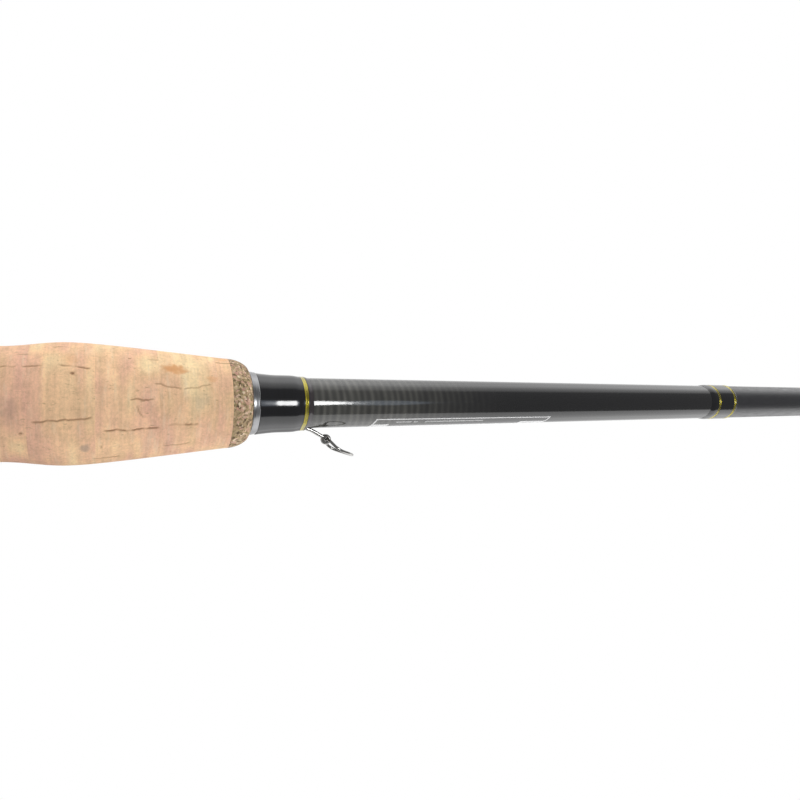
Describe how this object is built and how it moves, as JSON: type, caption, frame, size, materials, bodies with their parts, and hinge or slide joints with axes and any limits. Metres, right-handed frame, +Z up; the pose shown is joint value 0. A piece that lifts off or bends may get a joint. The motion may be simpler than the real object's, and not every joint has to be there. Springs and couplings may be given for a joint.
{
  "type": "spinning rod",
  "caption": "Two-piece spinning rod with cork grips, a screw reel seat with hoods, a folding hook keeper, line guides and a tip-top.",
  "frame": {"origin": "centre of the butt cap's flat end, on the blank's axis", "axes": "+X along the blank towards the tip, -Y towards the reel foot, the hook keeper and the guides, +Z up as the rod lies on its side"},
  "size_m": [2.134, 0.0626, 0.0318],
  "materials": {
    "butt_rubber": "matte",
    "bright_aluminium": "polished",
    "cork": "natural cork, sanded",
    "burl_cork": "speckled burl cork, sanded",
    "graphite_seat": "satin graphite",
    "seat_plastic": "satin black",
    "hood_liner": "matte",
    "arbor": "matte",
    "blank": "glossy clear coat over dark graphite",
    "black_thread": "epoxied black thread",
    "gold_thread": "epoxied metallic gold thread",
    "keeper_wire": "polished stainless wire",
    "guide_metal": "polished dark stainless",
    "ceramic": "polished ceramic"
  },
  "bodies": {
    "butt_section": {"butt_cap": "butt_rubber", "butt_trim_ring": "bright_aluminium", "rear_burl_ring_a": "burl_cork", "rear_cork_rings": "cork", "rear_burl_ring_b": "burl_cork", "reel_seat_barrel": "graphite_seat", "seat_arbors": "arbor", "fixed_hood": "seat_plastic", "fixed_hood_liner": "hood_liner", "fore_cork_ring_1": "cork", "fore_cork_ring_2": "cork", "fore_cork_ring_3": "cork", "fore_cork_ring_4": "cork", "fore_cork_ring_5": "cork", "fore_cork_ring_6": "cork", "fore_cork_ring_7": "cork", "fore_cork_part_ring": "cork", "fore_burl_ring": "burl_cork", "winding_check": "bright_aluminium", "butt_wrap_black": "black_thread", "butt_wrap_gold": "gold_thread", "keeper_bracket": "keeper_wire", "butt_blank": "blank", "trim_wrap_black": "black_thread", "trim_wrap_gold": "gold_thread", "guide_frame_1": "guide_metal", "guide_ring_1": "ceramic", "guide_wrap_1": "black_thread", "butt_guide_gold": "gold_thread"},
    "hood": {"sliding_hood": "seat_plastic", "sliding_hood_liner": "hood_liner", "slip_ring": "bright_aluminium"},
    "nut": {"lock_nut": "seat_plastic"},
    "keeper": {"keeper_loop": "keeper_wire"},
    "tip_section": {"tip_blank": "blank", "ferrule_wrap_black": "black_thread", "ferrule_wrap_gold": "gold_thread", "guide_frame_2": "guide_metal", "guide_ring_2": "ceramic", "guide_wrap_2": "black_thread", "guide_frame_3": "guide_metal", "guide_ring_3": "ceramic", "guide_wrap_3": "black_thread", "guide_frame_4": "guide_metal", "guide_ring_4": "ceramic", "guide_wrap_4": "black_thread", "guide_frame_5": "guide_metal", "guide_ring_5": "ceramic", "guide_wrap_5": "black_thread", "guide_frame_6": "guide_metal", "guide_ring_6": "ceramic", "guide_wrap_6": "black_thread", "guide_frame_7": "guide_metal", "guide_ring_7": "ceramic", "guide_wrap_7": "black_thread", "tip_guide_gold": "gold_thread", "tip_top_frame": "guide_metal", "tip_top_ring": "ceramic", "tip_top_wrap": "black_thread"}
  },
  "joints": [
    {"name": "ferrule_slide", "type": "slide", "parent": "butt_section", "child": "tip_section", "axis": [1, 0, 0], "range_m": [0, 0.07]},
    {"name": "hood_slide", "type": "slide", "parent": "butt_section", "child": "hood", "axis": [1, 0, 0], "range_m": [0, 0.0176]},
    {"name": "lock_nut_turn", "type": "hinge", "parent": "hood", "child": "nut", "pos_m": [0.26585, 0, 0], "axis": [1, 0, 0], "range_deg": [0, 2520]},
    {"name": "keeper_fold", "type": "hinge", "parent": "butt_section", "child": "keeper", "pos_m": [0.4881, -0.0094, 0], "axis": [0, 0, 1], "range_deg": [-140, 44]}
  ],
  "couplings": [
    {"joint": "hood_slide", "follows": "lock_nut_turn", "m_per_rad": 0.00039789}
  ]
}
